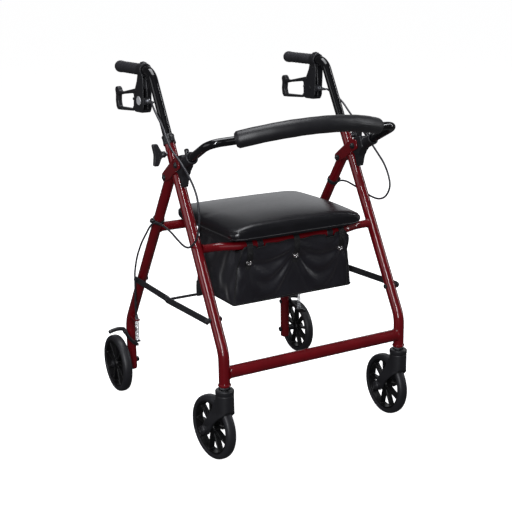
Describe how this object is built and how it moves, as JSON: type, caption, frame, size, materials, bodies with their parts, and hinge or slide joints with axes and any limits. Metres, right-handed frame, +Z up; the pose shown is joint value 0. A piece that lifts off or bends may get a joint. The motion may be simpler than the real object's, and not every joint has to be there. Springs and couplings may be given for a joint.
{
  "type": "rollator walker",
  "caption": "Folding rollator walker with swivel casters, seat with bag, backrest hoop, and height-adjustable handles with loop brakes.",
  "frame": {"origin": "on the floor, under the middle of the walker's bounding box", "axes": "+Z up, -Y towards the casters and the backrest, +Y towards the user, X across the walker"},
  "size_m": [0.594, 0.6536, 0.873],
  "materials": {
    "frame_paint": "gloss",
    "black_tube": "gloss",
    "black_steel": "satin",
    "moulded_plastic": "matte",
    "rim_plastic": "satin",
    "tyre_rubber": "matte",
    "grip_rubber": "matte",
    "seat_vinyl": "satin",
    "backrest_foam": "matte",
    "bag_fabric": "matte",
    "zinc": "satin",
    "cable_sheath": "satin"
  },
  "bodies": {
    "front_frame": {"front_leg_left": "frame_paint", "front_leg_right": "frame_paint", "lower_crossbar": "frame_paint", "seat_bar": "frame_paint", "fold_bracket_left": "frame_paint", "fold_bracket_right": "frame_paint", "height_collar_left": "moulded_plastic", "height_collar_right": "moulded_plastic", "caster_stem_left": "zinc", "caster_stem_right": "zinc", "brake_cable_left": "cable_sheath", "brake_cable_right": "cable_sheath", "bag": "bag_fabric"},
    "rear_frame": {"rear_leg_left": "frame_paint", "rear_leg_right": "frame_paint", "rear_crossbar": "frame_paint", "rear_axle_left": "zinc", "rear_axle_right": "zinc", "brake_spring_left": "zinc", "brake_spring_right": "zinc"},
    "front_braces": {"brace_front_left": "black_steel", "brace_front_right": "black_steel"},
    "rear_braces": {"brace_rear_left": "black_steel", "brace_rear_right": "black_steel", "cross_rod": "black_steel"},
    "seat": {"seat_board": "moulded_plastic", "seat_pad": "seat_vinyl", "seat_hinge_left": "moulded_plastic", "seat_hinge_right": "moulded_plastic"},
    "backrest": {"backrest_tube": "black_tube", "backrest_pad": "backrest_foam", "backrest_socket_left": "moulded_plastic", "backrest_socket_right": "moulded_plastic"},
    "caster_left": {"caster_fork_left": "moulded_plastic", "caster_axle_left": "zinc"},
    "caster_wheel_left": {"caster_rim_left": "rim_plastic", "caster_tyre_left": "tyre_rubber"},
    "rear_wheel_left": {"rear_rim_left": "rim_plastic", "rear_tyre_left": "tyre_rubber"},
    "handle_left": {"handle_tube_left": "black_tube", "grip_left": "grip_rubber", "brake_housing_left": "moulded_plastic"},
    "lever_left": {"brake_lever_left": "moulded_plastic"},
    "brake_left": {"brake_arm_left": "black_steel"},
    "knob_left": {"height_knob_left": "moulded_plastic"},
    "button_left": {"backrest_button_left": "moulded_plastic"},
    "caster_right": {"caster_fork_right": "moulded_plastic", "caster_axle_right": "zinc"},
    "caster_wheel_right": {"caster_rim_right": "rim_plastic", "caster_tyre_right": "tyre_rubber"},
    "rear_wheel_right": {"rear_rim_right": "rim_plastic", "rear_tyre_right": "tyre_rubber"},
    "handle_right": {"handle_tube_right": "black_tube", "grip_right": "grip_rubber", "brake_housing_right": "moulded_plastic"},
    "lever_right": {"brake_lever_right": "moulded_plastic"},
    "brake_right": {"brake_arm_right": "black_steel"},
    "knob_right": {"height_knob_right": "moulded_plastic"},
    "button_right": {"backrest_button_right": "moulded_plastic"}
  },
  "joints": [
    {"name": "fold", "type": "hinge", "parent": "front_frame", "child": "rear_frame", "pos_m": [0, -0.04105, 0.622], "axis": [-1, 0, 0], "range_deg": [0, 28], "deforming": ["bag", "brake_cable_left", "brake_cable_right"]},
    {"name": "front_braces_turn", "type": "hinge", "parent": "front_frame", "child": "front_braces", "pos_m": [0, -0.24697, 0.334], "axis": [1, 0, 0], "range_deg": [0, 35.56]},
    {"name": "rear_braces_turn", "type": "hinge", "parent": "rear_frame", "child": "rear_braces", "pos_m": [0, 0.15652, 0.328], "axis": [-1, 0, 0], "range_deg": [0, 42.06]},
    {"name": "seat_flip", "type": "hinge", "parent": "front_frame", "child": "seat", "pos_m": [0, -0.1914, 0.476], "axis": [1, 0, 0], "range_deg": [0, 85]},
    {"name": "backrest_fold", "type": "hinge", "parent": "front_frame", "child": "backrest", "pos_m": [0, -0.106, 0.66], "axis": [-1, 0, 0], "range_deg": [0, 75]},
    {"name": "caster_swivel_left", "type": "hinge", "parent": "front_frame", "child": "caster_left", "pos_m": [-0.24, -0.2854, 0.16], "axis": [0, 0, 1], "continuous": true},
    {"name": "caster_roll_left", "type": "hinge", "parent": "caster_left", "child": "caster_wheel_left", "pos_m": [-0.2457, -0.23895, 0.0762], "axis": [0.9925, 0.1219, 0], "continuous": true},
    {"name": "rear_roll_left", "type": "hinge", "parent": "rear_frame", "child": "rear_wheel_left", "pos_m": [-0.281, 0.2506, 0.0762], "axis": [1, 0, 0], "continuous": true},
    {"name": "handle_height_left", "type": "slide", "parent": "front_frame", "child": "handle_left", "axis": [0, 0.4866, 0.8736], "range_m": [-0.08, 0.07], "deforming": ["brake_cable_left"]},
    {"name": "height_knob_turn_left", "type": "hinge", "parent": "front_frame", "child": "knob_left", "pos_m": [-0.27, -0.05536, 0.678], "axis": [1, 0, 0], "continuous": true},
    {"name": "brake_squeeze_left", "type": "hinge", "parent": "handle_left", "child": "lever_left", "pos_m": [-0.24234, 0.09795, 0.786], "axis": [0.999, 0.0436, 0], "range_deg": [0, 10], "stiffness_Nm_per_rad": 0.5},
    {"name": "brake_arm_turn_left", "type": "hinge", "parent": "rear_frame", "child": "brake_left", "pos_m": [-0.256, 0.2506, 0.16], "axis": [-1, 0, 0], "range_deg": [0, 14.05], "deforming": ["brake_spring_left"]},
    {"name": "backrest_button_press_left", "type": "slide", "parent": "backrest", "child": "button_left", "axis": [0, -0.4337, -0.9011], "range_m": [0, 0.003], "stiffness_N_per_m": 150},
    {"name": "caster_swivel_right", "type": "hinge", "parent": "front_frame", "child": "caster_right", "pos_m": [0.24, -0.2854, 0.16], "axis": [0, 0, 1], "continuous": true},
    {"name": "caster_roll_right", "type": "hinge", "parent": "caster_right", "child": "caster_wheel_right", "pos_m": [0.24082, -0.23861, 0.0762], "axis": [0.9998, -0.0175, 0], "continuous": true},
    {"name": "rear_roll_right", "type": "hinge", "parent": "rear_frame", "child": "rear_wheel_right", "pos_m": [0.281, 0.2506, 0.0762], "axis": [1, 0, 0], "continuous": true},
    {"name": "handle_height_right", "type": "slide", "parent": "front_frame", "child": "handle_right", "axis": [0, 0.4866, 0.8736], "range_m": [-0.08, 0.07], "deforming": ["brake_cable_right"]},
    {"name": "height_knob_turn_right", "type": "hinge", "parent": "front_frame", "child": "knob_right", "pos_m": [0.27, -0.05536, 0.678], "axis": [1, 0, 0], "continuous": true},
    {"name": "brake_squeeze_right", "type": "hinge", "parent": "handle_right", "child": "lever_right", "pos_m": [0.24234, 0.09795, 0.786], "axis": [0.999, -0.0436, 0], "range_deg": [0, 10], "stiffness_Nm_per_rad": 0.5},
    {"name": "brake_arm_turn_right", "type": "hinge", "parent": "rear_frame", "child": "brake_right", "pos_m": [0.256, 0.2506, 0.16], "axis": [-1, 0, 0], "range_deg": [0, 14.05], "deforming": ["brake_spring_right"]},
    {"name": "backrest_button_press_right", "type": "slide", "parent": "backrest", "child": "button_right", "axis": [0, -0.4337, -0.9011], "range_m": [0, 0.003], "stiffness_N_per_m": 150}
  ],
  "couplings": [
    {"joint": "front_braces_turn", "follows": "fold", "ratio": 1.2684},
    {"joint": "rear_braces_turn", "follows": "fold", "ratio": 1.5005},
    {"joint": "brake_arm_turn_left", "follows": "brake_squeeze_left", "ratio": 1.4},
    {"joint": "brake_arm_turn_right", "follows": "brake_squeeze_right", "ratio": 1.4}
  ]
}
